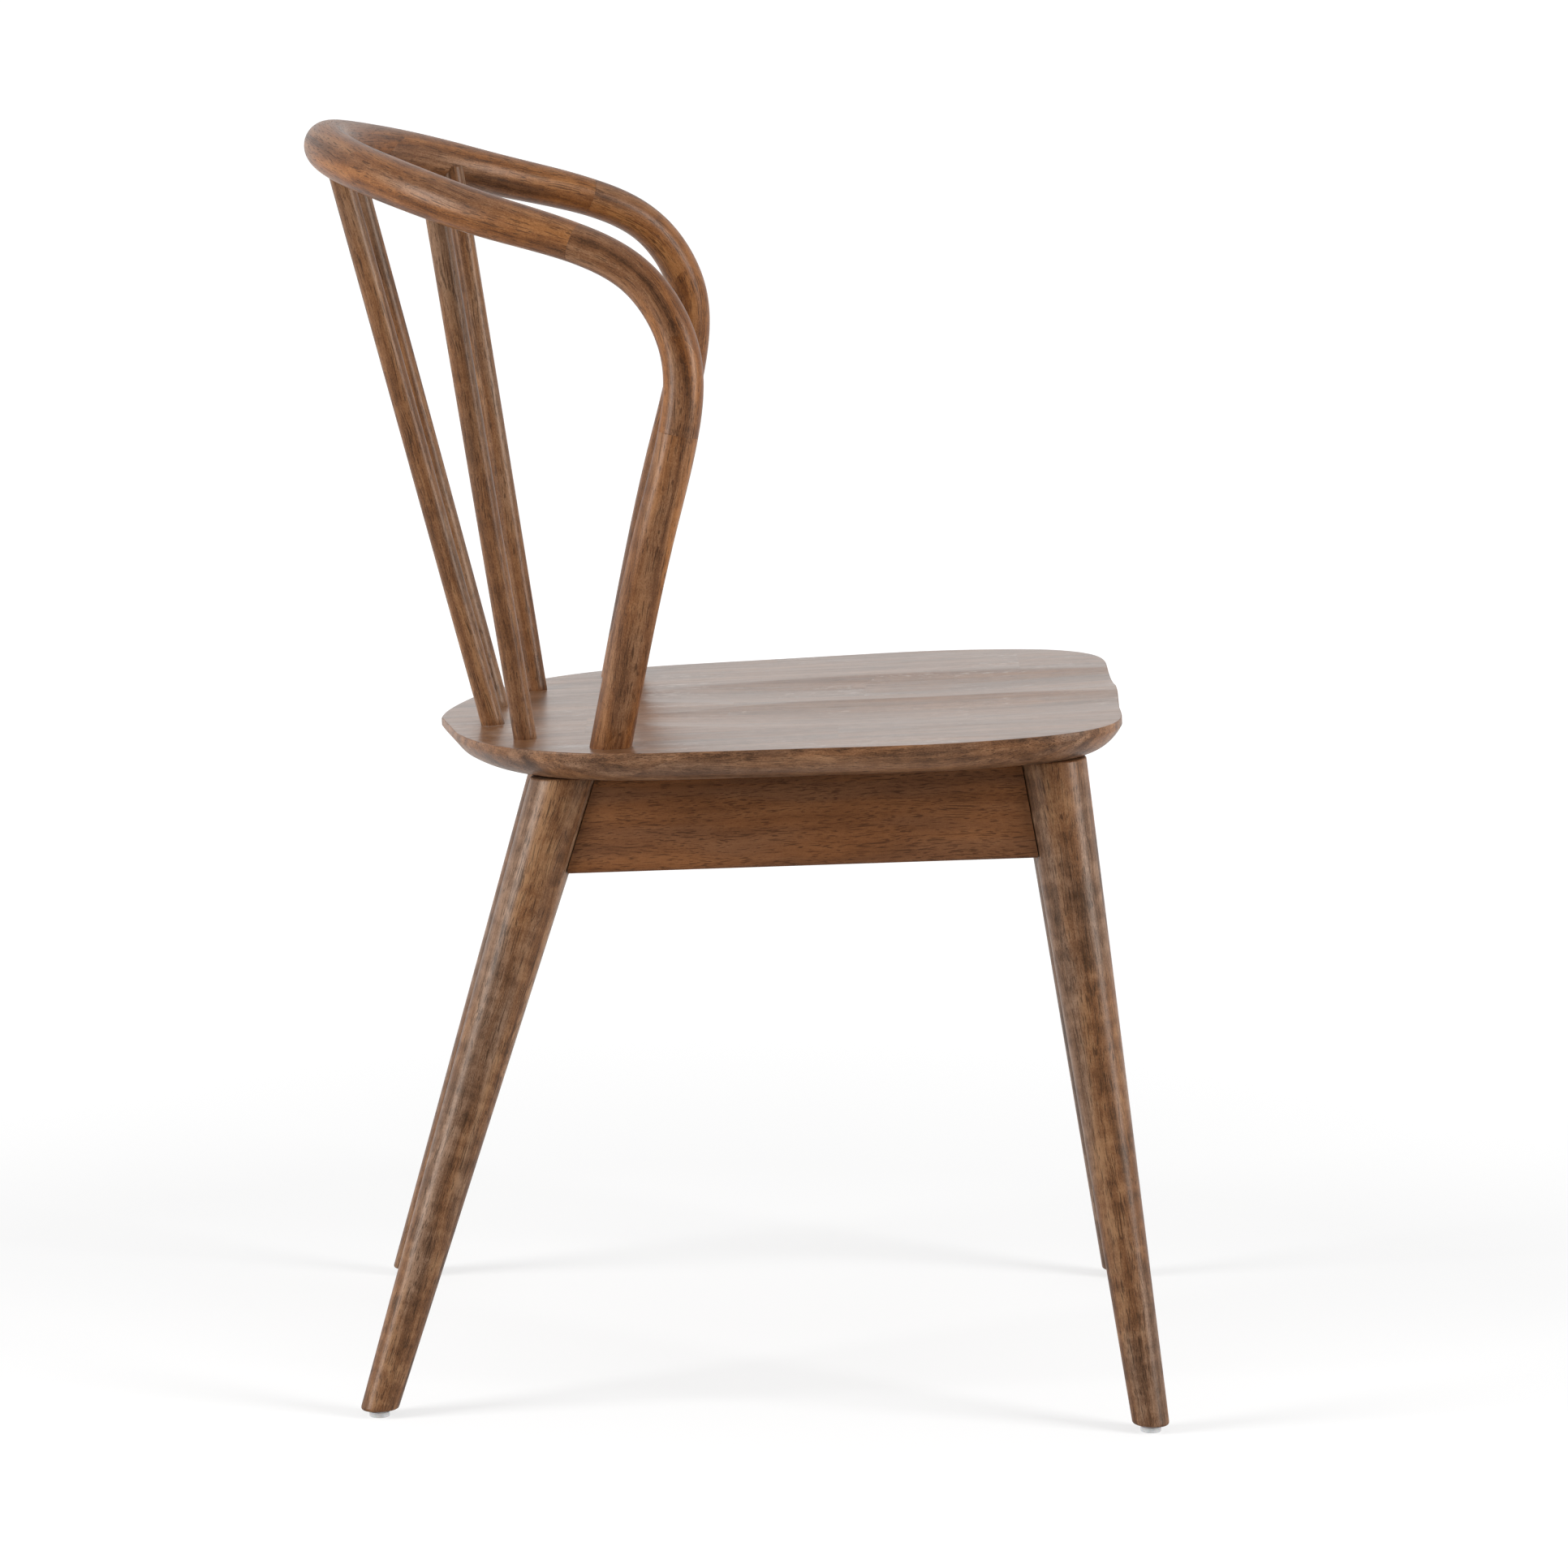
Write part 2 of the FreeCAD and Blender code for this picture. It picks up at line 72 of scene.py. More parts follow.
SCOOP_BLEND = 0.0002
BOARD_WIDTH = 0.071
BOARD_SHIFT = 0.035
BOARD_BLOCK = 0.260
SEAT_MIDDLE = (0.0, -0.03)
SEAT_MIDDLE_SHARE = 0.0001
SEAT_SIDES = 360
SEAT_TOP_RINGS = 70
SEAT_ARRIS_RINGS = 6
SEAT_BAND_RINGS = 4
SEAT_BEVEL_RINGS = 15
SEAT_BELOW_RINGS = 12

# The figure of the wood in waves per metre: twice across the grain, then along it
GRAIN_WAVES = (18, 18, 9)
GRAIN_WAVE_SIZE = 0.010
WARM_PATCHES = (48, 48, 7)
BANDS = (120, 120, 5)
FIBRE = (800, 800, 26)
CURL = (55, 55, 95)
SPECKS = (1700, 1700, 800)
FINE_PORES = (1600, 1600, 150)
LONG_PORES = (1500, 1500, 52)
PORE_GROUPS = (110, 110, 16)
# Pale dashes on the seat top: partly wear, partly painted sheen of pale pores seen at a low angle
WEAR_AND_SHEEN_DASHES = (420, 420, 130)
WEAR_AND_SHEEN_PLACES = (22, 22, 11)
SANDING_STREAKS = (42, 42, 4)

# How the figure shows: shares, metres and one colour. A range gives the noise at which a mark
# starts and the noise at which it is full, and for the pores their strength as well.
TONE_STEPS = (0.12, 0.48, 0.88)
BAND_TONE = 1.5
FIBRE_TONE = 0.45
SPECK_TONE = 0.65
BLOCK_TONE = 0.14
GREY_RANGE = (0.42, 0.62)
PORE_GROUPING = 0.20
FINE_PORE_RANGE = (0.73, 0.83, 0.65)
LONG_PORE_RANGE = (0.77, 0.85, 0.70)
WEAR_AND_SHEEN_GROUPING = 0.9
WEAR_AND_SHEEN_RANGE = (1.08, 1.28)
BLOCK_STAGGER = 0.37
BLOCK_SLANT = 9.0
PORE_SHADE = 0.45
PORE_DEPTH = 0.00018
SANDING_DEPTH = 0.0016
ROUGHNESS_SPREAD = 0.20
PORE_ROUGHNESS = 0.15
FIBRE_RELIEF = 0.35
# Colour of the pale dashes: partly wear, partly painted sheen
WEAR_AND_SHEEN_COLOUR = (0.52, 0.46, 0.42, 1)


def spline(points, closed, count):
    """Cubic spline through points, equally stepped along the sum of its chords.

    The bend at each point is found from one set of linear equations that make the slope
    continuous there. An open spline has no bend at its ends; a closed one joins on itself.
    """
    points = np.asarray(points, float)
    after = np.roll(points, -1, axis=0)
    chord = np.linalg.norm(after - points, axis=1)
    before = np.roll(chord, 1)
    slope = (after - points) / chord[:, None]
    rows = np.diag(2 * (before + chord))
    rows = rows + np.roll(np.diag(chord), 1, axis=1) + np.roll(np.diag(before), -1, axis=1)
    turn = 6 * (slope - np.roll(slope, 1, axis=0))
    if not closed:
        rows[[0, -1]] = np.eye(len(points))[[0, -1]]
        turn[[0, -1]] = 0
    bend = np.linalg.solve(rows, turn)
    starts = np.concatenate([[0], np.cumsum(chord)])
    last = len(points) - (1 if closed else 2)
    total = starts[last + (0 if closed else 1)]
    where = np.linspace(0, total, count + 1)[:-1] if closed else np.linspace(0, total, count)
    piece = np.clip(np.searchsorted(starts, where, side="right") - 1, 0, last)
    following = (piece + 1) % len(points)
    left = (starts[piece + 1] - where)[:, None]
    right = (where - starts[piece])[:, None]
    span = chord[piece][:, None]
    bent = (bend[piece] * left ** 3 + bend[following] * right ** 3) / (6 * span)
    straight_left = (points[piece] / span - bend[piece] * span / 6) * left
    straight_right = (points[following] / span - bend[following] * span / 6) * right
    return bent + straight_left + straight_right, where


def surface(name, grid, grain, capped=True):
    """Mesh of a grid of points: rows of rings, with each ring closed.

    Quads join each point to the next on its ring and to the same two on the next ring. When
    capped, a flat face closes the first ring and another the last. The grain array holds each
    point's place in the straight timber that it was cut from.
    """
    rings, sides = grid.shape[:2]
    index = np.arange(rings * sides).reshape(rings, sides)
    following = np.roll(index, -1, axis=1)
    quads = np.stack([index[:-1], following[:-1], following[1:], index[1:]], axis=-1).reshape(-1, 4)
    faces = quads.tolist()
    if capped:
        faces = faces + [index[0][::-1].tolist(), index[-1].tolist()]
    mesh = bpy.data.meshes.new(name)
    mesh.from_pydata(grid.reshape(-1, 3).tolist(), [], faces)
    attribute = mesh.attributes.new("grain", "FLOAT_VECTOR", "POINT")
    attribute.data.foreach_set("vector", np.ascontiguousarray(grain, np.float32).ravel())
    mesh.shade_smooth()
    mesh.update()
    piece = bpy.data.objects.new(name, mesh)
    bpy.context.scene.collection.objects.link(piece)
    return piece


def shader_node(tree, kind, settings=None, values=None):
    """Add a node, set its options, then set or link its inputs by name or number."""
    node = tree.nodes.new("ShaderNode" + kind)
    for option, value in (settings or {}).items():
        setattr(node, option, value)
    for socket, value in (values or {}).items():
        if isinstance(value, bpy.types.NodeSocket):
            tree.links.new(value, node.inputs[socket])
        else:
            node.inputs[socket].default_value = value
    return node


def bare_material(name):
    """A new material and its empty node tree."""
    material = bpy.data.materials.new(name)
    material.use_nodes = True
    material.node_tree.nodes.clear()
    return material, material.node_tree


def to_output(tree, shader, kind="OutputMaterial"):
    """End a node tree with a shader."""
    tree.links.new(shader.outputs[0], shader_node(tree, kind).inputs[0])


def colour_steps(tree, factor, steps):
    """Colour ramp through (position, colour) steps."""
    node = shader_node(tree, "ValToRGB", values={"Fac": factor})
    ramp = node.color_ramp
    ramp.elements[0].position = steps[0][0]
    ramp.elements[0].color = (*steps[0][1], 1)
    ramp.elements[1].position = steps[-1][0]
    ramp.elements[1].color = (*steps[-1][1], 1)
    for position, colour in steps[1:-1]:
        ramp.elements.new(position).color = (*colour, 1)
    return node.outputs["Color"]


def maths(tree, operation, first, second):
    """One sum of two numbers or outputs."""
    return shader_node(tree, "Math", {"operation": operation}, {0: first, 1: second}).outputs[0]


def vector_maths(tree, operation, first, second):
    """One sum of two vectors, axis by axis."""
    return shader_node(tree, "VectorMath", {"operation": operation}, {0: first, 1: second}).outputs[0]


def stretched_noise(tree, place, stretch, detail, roughness=0.55):
    """Noise drawn out along the grain: the place is scaled by stretch before it is read."""
    return shader_node(tree, "TexNoise", values={
        "Vector": vector_maths(tree, "MULTIPLY", place, stretch),
        "Scale": 1.0, "Detail": detail, "Roughness": roughness})


def smooth_step(tree, value, low, high, most=1.0):
    """Nothing below low, the most above high, and an even curve between them."""
    return shader_node(tree, "MapRange", {"interpolation_type": "SMOOTHSTEP"}, {
        0: value, 1: low, 2: high, 4: most}).outputs[0]


def mixed_colour(tree, share, first, second):
    """The first colour where the share is 0, the second where it is 1."""
    return shader_node(tree, "Mix", {"data_type": "RGBA"}, {0: share, 6: first, 7: second}).outputs[2]


def stained_wood(name, warm, grey, grain_turn=None, board=(10.0, 10.0), satin=0.42,
                 contrast=1.0, curl=0.45, pored=1.0, lacquer=0.17, gloss=0.28, worn_and_sheen=0.0):
    """Stained timber: long bands, fibre and dark pores along the grain, in warm and grey patches.

    Grain runs along the third axis of the grain attribute, or of the Object coordinates
    turned by grain_turn. Board gives the width and length of the blocks that differ in tone.
    Warm and grey are each three colours, from the dark bands to the light ones. Curl sets
    the mottle across the grain, pored the strength of the pores, lacquer and gloss how much
    it mirrors, and the last setting the pale dashes, partly wear and partly a painted sheen of pale
    pores at a low angle, and the shallow streaks left by sanding and use.
    """
    material, tree = bare_material(name)
    if grain_turn is None:
        place = shader_node(tree, "Attribute", {"attribute_name": "grain"}).outputs["Vector"]
    else:
        object_place = shader_node(tree, "TexCoord").outputs["Object"]
        place = shader_node(tree, "Mapping", values={
            "Vector": object_place, "Rotation": grain_turn}).outputs[0]

    parts = shader_node(tree, "SeparateXYZ", values={0: place})
    strip = maths(tree, "FLOOR", maths(tree, "DIVIDE", parts.outputs[0], board[0]), 0.0)
    stagger = maths(tree, "ADD", maths(tree, "MULTIPLY", strip, BLOCK_STAGGER),
                    maths(tree, "MULTIPLY", parts.outputs[1], BLOCK_SLANT))
    length = maths(tree, "ADD", maths(tree, "DIVIDE", parts.outputs[2], board[1]), stagger)
    block = maths(tree, "FLOOR", length, 0.0)
    block_place = shader_node(tree, "CombineXYZ", values={0: strip, 1: block, 2: 3.0})
    block_noise = shader_node(tree, "TexWhiteNoise", values={"Vector": block_place.outputs[0]})
    block_shift = vector_maths(tree, "MULTIPLY", block_noise.outputs["Color"], (0.5, 0.5, 0.5))
    shifted = vector_maths(tree, "ADD", place, block_shift)

    wave = stretched_noise(tree, shifted, GRAIN_WAVES, 2.0).outputs["Color"]
    wave_middle = vector_maths(tree, "SUBTRACT", wave, (0.5, 0.5, 0.5))
    wave_shift = vector_maths(tree, "MULTIPLY", wave_middle, (GRAIN_WAVE_SIZE, GRAIN_WAVE_SIZE, 0))
    waved = vector_maths(tree, "ADD", shifted, wave_shift)

    patches = stretched_noise(tree, waved, WARM_PATCHES, 1.0).outputs[0]
    bands = stretched_noise(tree, waved, BANDS, 3.0, 0.6).outputs[0]
    fibre = stretched_noise(tree, waved, FIBRE, 2.0, 0.6).outputs[0]
    figure = stretched_noise(tree, waved, CURL, 2.0).outputs[0]
    specks = stretched_noise(tree, waved, SPECKS, 1.0).outputs[0]
    fine_pores = stretched_noise(tree, waved, FINE_PORES, 0.0).outputs[0]
    long_pores = stretched_noise(tree, waved, LONG_PORES, 0.0).outputs[0]
    pore_groups = stretched_noise(tree, waved, PORE_GROUPS, 1.0).outputs[0]

    block_value = block_noise.outputs["Value"]
    tones = ((bands, BAND_TONE), (fibre, FIBRE_TONE), (figure, curl), (specks, SPECK_TONE),
             (block_value, BLOCK_TONE))
    tone = 0.5 - 0.5 * contrast * sum(weight for _, weight in tones)
    for texture, weight in tones:
        tone = maths(tree, "ADD", maths(tree, "MULTIPLY", texture, contrast * weight), tone)
    warm_colour = colour_steps(tree, tone, list(zip(TONE_STEPS, warm)))
    grey_colour = colour_steps(tree, tone, list(zip(TONE_STEPS, grey)))
    greyed = smooth_step(tree, patches, *GREY_RANGE)
    colour = mixed_colour(tree, greyed, warm_colour, grey_colour)

    grouping = maths(tree, "MULTIPLY", pore_groups, PORE_GROUPING)
    fine = smooth_step(tree, maths(tree, "ADD", fine_pores, grouping), *FINE_PORE_RANGE)
    long = smooth_step(tree, maths(tree, "ADD", long_pores, grouping), *LONG_PORE_RANGE)
    pores = maths(tree, "MULTIPLY", maths(tree, "MAXIMUM", fine, long), pored)
    pore_colour = (*(PORE_SHADE * channel for channel in warm[0]), 1)
    colour = mixed_colour(tree, pores, colour, pore_colour)
    # Pale dashes: partly wear and partly painted sheen, the pale look of pores at a low angle
    if worn_and_sheen:
        dashes = stretched_noise(tree, shifted, WEAR_AND_SHEEN_DASHES, 2.0, 0.7).outputs[0]
        wear_and_sheen_places = stretched_noise(tree, shifted, WEAR_AND_SHEEN_PLACES, 2.0).outputs[0]
        wear_and_sheen = maths(tree, "ADD", dashes, maths(tree, "MULTIPLY", wear_and_sheen_places, WEAR_AND_SHEEN_GROUPING))
        wear_and_sheen_share = smooth_step(tree, wear_and_sheen, *WEAR_AND_SHEEN_RANGE, worn_and_sheen)
        colour = mixed_colour(tree, wear_and_sheen_share, colour, WEAR_AND_SHEEN_COLOUR)

    roughness = maths(tree, "ADD", maths(tree, "MULTIPLY", fibre, ROUGHNESS_SPREAD),
                      satin - ROUGHNESS_SPREAD / 2)
    roughness = maths(tree, "ADD", roughness, maths(tree, "MULTIPLY", pores, PORE_ROUGHNESS))
    relief = maths(tree, "SUBTRACT", maths(tree, "MULTIPLY", fibre, FIBRE_RELIEF), pores)
    bump = shader_node(tree, "Bump", values={
        "Strength": 0.5, "Distance": PORE_DEPTH, "Height": relief})
    if worn_and_sheen:
        streaks = stretched_noise(tree, shifted, SANDING_STREAKS, 2.0).outputs[0]
        bump = shader_node(tree, "Bump", values={
            "Strength": 1.0, "Distance": SANDING_DEPTH, "Height": streaks,
            "Normal": bump.outputs[0]})
    shader = shader_node(tree, "BsdfPrincipled", values={
        "Base Color": colour, "Roughness": roughness, "IOR": 1.5,
        "Specular IOR Level": gloss, "Specular Tint": (1.0, 0.78, 0.60, 1),
        "Coat Weight": lacquer, "Coat Roughness": 0.28, "Normal": bump.outputs[0]})
    to_output(tree, shader)
    return material


def seat_point(x, y, z):
    """From the seat's own frame, z = 0 on its top plane, to the room: tilt about X, then lift."""
    turned_y = y * math.cos(SEAT_TILT) + z * math.sin(SEAT_TILT)
    turned_z = z * math.cos(SEAT_TILT) - y * math.sin(SEAT_TILT)
    return np.stack(np.broadcast_arrays(x, turned_y, SEAT_HEIGHT + turned_z), axis=-1)


def scooped(x, y):
    """Depth of the hollows: two crossed parabolas, the deeper side taken, faded to flat.

    Each hollow is its depth less x squared over twice its cross radius, less y squared over
    twice its long radius. The square root of depth squared plus a small square rounds the rim.
    """
    cross_radius = (SCOOP_HALF_WIDTH ** 2 + SCOOP_DEPTH ** 2) / (2 * SCOOP_DEPTH)
    long_radius = (SCOOP_HALF_LENGTH ** 2 + SCOOP_DEPTH ** 2) / (2 * SCOOP_DEPTH)
    aside = np.abs(x) - SCOOP_CENTRE_X
    along = y - SCOOP_CENTRE_Y
    depth = SCOOP_DEPTH - aside ** 2 / (2 * cross_radius) - along ** 2 / (2 * long_radius)
    return (depth + np.sqrt(depth ** 2 + SCOOP_BLEND ** 2)) / 2


def make_seat():
    """Seat surface: rings from the middle of the top, over the edge, to the middle below.

    The top's rings are the outline drawn in towards the middle. Over the edge each ring is
    the outline moved in by an inset square to itself, and dropped.
    """
    left = np.array(SEAT_OUTLINE)
    right = left[-2:0:-1] * (-1, 1)
    outline, _ = spline(np.concatenate([left, right]), True, SEAT_SIDES)
    tangent = np.roll(outline, -1, axis=0) - np.roll(outline, 1, axis=0)
    tangent = tangent / np.linalg.norm(tangent, axis=1)[:, None]
    inwards = np.stack([tangent[:, 1], -tangent[:, 0]], axis=1)
    middle = np.array(SEAT_MIDDLE)

    arris = np.linspace(0, math.pi / 2, SEAT_ARRIS_RINGS)
    arris_inset = SEAT_ARRIS * (1 - np.sin(arris))
    arris_drop = SEAT_ARRIS * (1 - np.cos(arris))
    bevel_drop = SEAT_THICKNESS - SEAT_BAND
    slope = math.hypot(SEAT_BEVEL_WIDTH, bevel_drop)
    share = np.linspace(0, 1, SEAT_BEVEL_RINGS)
    bulge = SEAT_BEVEL_BULGE * 4 * share * (1 - share)
    bevel_inset = SEAT_BEVEL_WIDTH * share - bulge * bevel_drop / slope
    bevel_z = SEAT_BAND + bevel_drop * share + bulge * SEAT_BEVEL_WIDTH / slope

    shrink = np.linspace(0, 1, SEAT_TOP_RINGS)[:, None, None]
    flat_edge = outline + inwards * SEAT_ARRIS
    top_plan = middle + (flat_edge - middle) * np.maximum(shrink, SEAT_MIDDLE_SHARE)
    top_z = -scooped(top_plan[..., 0], top_plan[..., 1])
    edge_plan = outline + inwards * arris_inset[1:, None, None]
    edge_top = -scooped(edge_plan[..., 0], edge_plan[..., 1])
    edge_z = edge_top - arris_drop[1:, None]
    band_share = np.linspace(0.3, 0.95, SEAT_BAND_RINGS)[:, None]
    band_plan = np.repeat(outline[None], SEAT_BAND_RINGS, axis=0)
    band_z = edge_z[-1] + (-SEAT_BAND - edge_z[-1]) * band_share
    bevel_plan = outline + inwards * bevel_inset[:, None, None]
    bevel_height = np.repeat(-bevel_z[:, None], len(outline), axis=1)
    below_share = np.linspace(0.97, SEAT_MIDDLE_SHARE, SEAT_BELOW_RINGS)[:, None, None]
    below_plan = middle + (bevel_plan[-1] - middle) * below_share
    below_z = np.full(below_plan.shape[:2], -SEAT_THICKNESS)

    plan = np.concatenate([top_plan, edge_plan, band_plan, bevel_plan, below_plan])
    height = np.concatenate([top_z, edge_z, band_z, bevel_height, below_z])
    grid = seat_point(plan[..., 0], plan[..., 1], height)
    grain = np.stack([plan[..., 0] + BOARD_SHIFT, height, plan[..., 1]], axis=-1)
    return surface("seat_panel", grid, grain)


seat_warm = [(0.070, 0.030, 0.013), (0.195, 0.088, 0.040), (0.340, 0.178, 0.090)]
seat_grey = [(0.055, 0.026, 0.014), (0.165, 0.081, 0.043), (0.300, 0.170, 0.100)]
seat_boards = (BOARD_WIDTH, BOARD_BLOCK)
# Only the top gets the pale dashes, partly wear and partly painted sheen
seat_top_wood = stained_wood("seat_top_wood", seat_warm, seat_grey, board=seat_boards, satin=0.34,
                             contrast=0.5, pored=0.5, lacquer=0.45, gloss=0.5, worn_and_sheen=0.5)
seat_edge_wood = stained_wood("seat_edge_wood", seat_warm, seat_grey, board=seat_boards)
seat_panel = make_seat()
seat_panel.data.materials.append(seat_top_wood)
seat_panel.data.materials.append(seat_edge_wood)
finish_numbers = np.ones(len(seat_panel.data.polygons), int)
finish_numbers[:SEAT_TOP_RINGS * SEAT_SIDES] = 0
seat_panel.data.polygons.foreach_set("material_index", finish_numbers)
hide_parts("seat")
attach(seat_panel, "root")

# Legs
# Four straight tapered rounds turned from solid timber, splayed both ways, cut level over
# the glides and to the slope of the seat above, with a small bevel round each end.
# They are mortised for the aprons.

LEG_TOP_RADIUS = 0.0214
LEG_FOOT_RADIUS = 0.0117
LEG_END_BEVEL = 0.0015
LEG_SIDES = 96
LEG_RINGS = 24
LEG_SEED_STEP = 0.43
GLIDE_HEIGHT = 0.005
LEGS = {
    "front": ((0.2270, -0.2723), (0.1500, -0.2045)),
    "rear": ((0.2080, 0.2222), (0.1300, 0.1088)),
}


def ring_frame(tangent):
    """Two directions square to each tangent, from one steady direction that none lies along."""
    steady = np.array([0.0, -0.6, 0.8])
    first = steady - tangent * (tangent @ steady)[..., None]
    first = first / np.linalg.norm(first, axis=-1, keepdims=True)
    return first, np.cross(tangent, first)


def make_leg(name, foot, top, side, seed):
    """Leg surface: straight lines from a level ring at the foot to a ring in the seat's slope.

    Each line of the cone is cut where it meets the level of the glide's top and the plane of
    the seat's underside, then the rings near the ends are drawn in for the bevels.
    """
    foot_centre = np.array([side * foot[0], foot[1], GLIDE_HEIGHT])
    top_centre = seat_point(side * top[0], top[1], -SEAT_THICKNESS)
    axis = top_centre - foot_centre
    length = np.linalg.norm(axis)
    axis = axis / length
    across, up = ring_frame(axis[None])
    angle = np.linspace(0, 2 * math.pi, LEG_SIDES, endpoint=False)[:, None]
    outwards = across * np.cos(angle) + up * np.sin(angle)
    low = foot_centre + outwards * LEG_FOOT_RADIUS
    high = top_centre + outwards * LEG_TOP_RADIUS
    line = (high - low) / length
    seat_normal = np.array([0.0, math.sin(SEAT_TILT), math.cos(SEAT_TILT)])
    low = low + line * ((GLIDE_HEIGHT - low[:, 2]) / line[:, 2])[:, None]
    high = high + line * (((top_centre - high) @ seat_normal) / (line @ seat_normal))[:, None]
    step = LEG_END_BEVEL * np.array([0, 0.15, 0.5, 1.0, 1.2, 2.0])
    inset = LEG_END_BEVEL * np.array([0.75, 0.42, 0.13, 0, 0, 0])
    run = np.linalg.norm(high - low, axis=1)[None, :]
    middle = np.linspace(0.04, 0.96, LEG_RINGS)[:, None] * run
    along = np.concatenate([step[:, None] + 0 * run, middle, run - step[::-1, None]])
    pull = np.concatenate([inset, np.zeros(LEG_RINGS), inset[::-1]])[:, None, None]
    grid = low + line / np.linalg.norm(line, axis=1)[:, None] * along[..., None]
    grid = grid - outwards * pull
    level = (grid - foot_centre) @ axis
    beside = grid - foot_centre - level[..., None] * axis
    grain = np.stack([beside @ across[0] + seed, beside @ up[0], level], axis=-1)
    return surface(name, grid, grain)


leg_warm = [(0.062, 0.026, 0.010), (0.162, 0.070, 0.030), (0.285, 0.150, 0.072)]
leg_grey = [(0.048, 0.024, 0.013), (0.128, 0.066, 0.037), (0.250, 0.150, 0.096)]
leg_wood = stained_wood("leg_wood", leg_warm, leg_grey, curl=1.0)
leg_seed = 0.0
for place, (foot, top) in LEGS.items():
    for hand, side in (("left", 1), ("right", -1)):
        leg_seed = leg_seed + LEG_SEED_STEP
        leg = make_leg(f"leg_{place}_{hand}_round", foot, top, side, leg_seed)
        leg.data.materials.append(leg_wood)
        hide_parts(f"leg_{place}_{hand}")
        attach(leg, "root")

# Aprons and corner blocks
# Flat boards on edge that lean with the legs and are tenoned into them, with their lower
# edges eased, and blocks screwed across the corners behind them.
# They keep the shapes of the frame and get the same stain, a little redder.

apron_warm = [(0.074, 0.026, 0.009), (0.160, 0.060, 0.021), (0.235, 0.098, 0.038)]
apron_grey = [(0.062, 0.024, 0.010), (0.138, 0.056, 0.024), (0.215, 0.097, 0.044)]
GRAIN_ALONG_X = (0.0, math.pi / 2, 0.0)
GRAIN_ALONG_Y = (math.pi / 2 + SEAT_TILT, 0.0, 0.0)
side_apron_wood = stained_wood(
    "side_apron_wood", apron_warm, apron_grey, GRAIN_ALONG_Y, satin=0.55, contrast=0.6,
    curl=0.2, lacquer=0.05, gloss=0.25)
end_apron_wood = stained_wood(
    "end_apron_wood", apron_warm, apron_grey, GRAIN_ALONG_X, satin=0.55, contrast=0.6,
    curl=0.2, lacquer=0.05, gloss=0.25)


def finish_node(name, material):
    """Give a piece of the frame its finish."""
    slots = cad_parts[name].data.materials
    slots.clear()
    slots.append(material)


for hand in ("left", "right"):
    finish_node(f"apron_{hand}", side_apron_wood)
    for place in ("front", "rear"):
        finish_node(f"corner_block_{place}_{hand}", end_apron_wood)
for place in ("front", "rear"):
    finish_node(f"apron_{place}", end_apron_wood)

# Hoop
# The back is one long round rod, thicker towards the crest, made of five bent lengths that
# are dowelled end to end: a post and an arm each side, and the crest across the back.
# The grain follows the bend.

HOOP_FOOT = (0.1620, 0.0780)
HOOP_FOOT_DIAMETER = 0.0268
POST_LINE = [
    (0.1950, 0.0650, 0.5015, 0.0264),
    (0.2120, 0.0490, 0.5780, 0.0261),
    (0.2145, 0.0360, 0.6360, 0.0258),
]
ARM_LINE = [
    (0.2110, 0.0345, 0.6840, 0.0255),
    (0.2050, 0.0460, 0.7130, 0.0251),
    (0.1975, 0.0645, 0.7345, 0.0248),
    (0.1850, 0.1030, 0.7535, 0.0254),
]
CREST_LINE = [
    (0.1650, 0.1565, 0.7675, 0.0280),
    (0.1430, 0.1940, 0.7780, 0.0294),
    (0.1170, 0.2230, 0.7865, 0.0299),
    (0.0720, 0.2530, 0.7950, 0.0303),
    (0.0000, 0.2690, 0.8005, 0.0304),
]
POST_SINK = 0.006
JOINT_EASE = 0.00015
HOOP_SIDES = 96
HOOP_RING_STEP = 0.0035
HOOP_LINE_STEPS = 1601
HOOP_BLOCK = 0.26
HOOP_SEED_STEP = 0.37
hoop_foot = seat_point(HOOP_FOOT[0], HOOP_FOOT[1], 0.0)
hoop_half = np.array([(*hoop_foot, HOOP_FOOT_DIAMETER)] + POST_LINE + ARM_LINE + CREST_LINE)
hoop_points = np.concatenate([hoop_half, hoop_half[-2::-1] * (-1, 1, 1, 1)])
hoop_chords = np.linalg.norm(np.diff(hoop_points[:, :3], axis=0), axis=1)
hoop_marks = np.concatenate([[0], np.cumsum(hoop_chords)])


